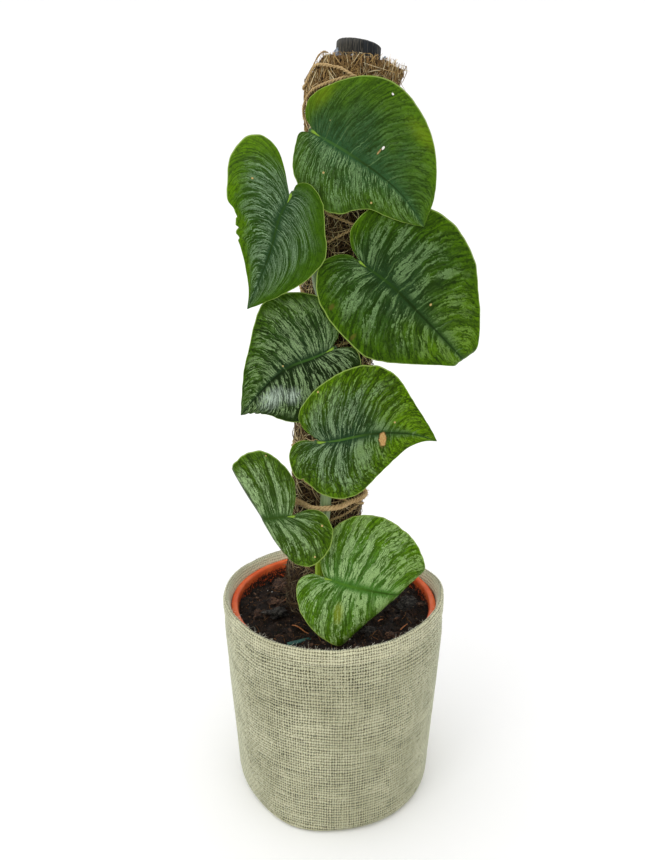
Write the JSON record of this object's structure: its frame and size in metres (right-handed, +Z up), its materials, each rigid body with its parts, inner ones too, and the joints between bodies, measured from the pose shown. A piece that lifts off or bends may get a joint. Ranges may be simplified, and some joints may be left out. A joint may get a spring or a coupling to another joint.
{
  "type": "potted climbing plant",
  "caption": "Shingling climber with broad heart-shaped leaves on a leaning coir pole, in a nursery pot inside a round woven fabric cover.",
  "frame": {"origin": "centre of the flat base of the fabric cover, on the surface that it stands on", "axes": "+Z up along the pot's axis, -Y towards the side that the leaves face, +X to the right as seen from that side"},
  "size_m": [0.1752, 0.1624, 0.5134],
  "materials": {
    "cover_cloth": "open plain-woven jute cloth, matt, with a rolled hem",
    "pot_plastic": "terracotta-coloured moulded plastic, satin",
    "soil": "damp dark potting soil with bark",
    "stake_wood": "dark weathered round wood, sawn end",
    "coir": "matted coconut fibre",
    "jute": "twisted natural jute",
    "stem": "green ridged plant stem, slightly waxy",
    "stick": "green-stained split cane",
    "leaf": "satin green blade with silver streaks between the veins"
  },
  "bodies": {
    "root": {"fabric_cover": "cover_cloth", "nursery_pot": "pot_plastic", "soil": "soil", "support_stake": "stake_wood", "coir_wrap": "coir", "twine_binding": "jute", "stem_tie": "jute", "vine_stem": "stem", "split_stick": "stick", "leaf_1": "leaf", "leaf_2": "leaf", "leaf_3": "leaf", "leaf_4": "leaf", "leaf_5": "leaf", "leaf_6": "leaf", "leaf_7": "leaf"}
  },
  "joints": []
}
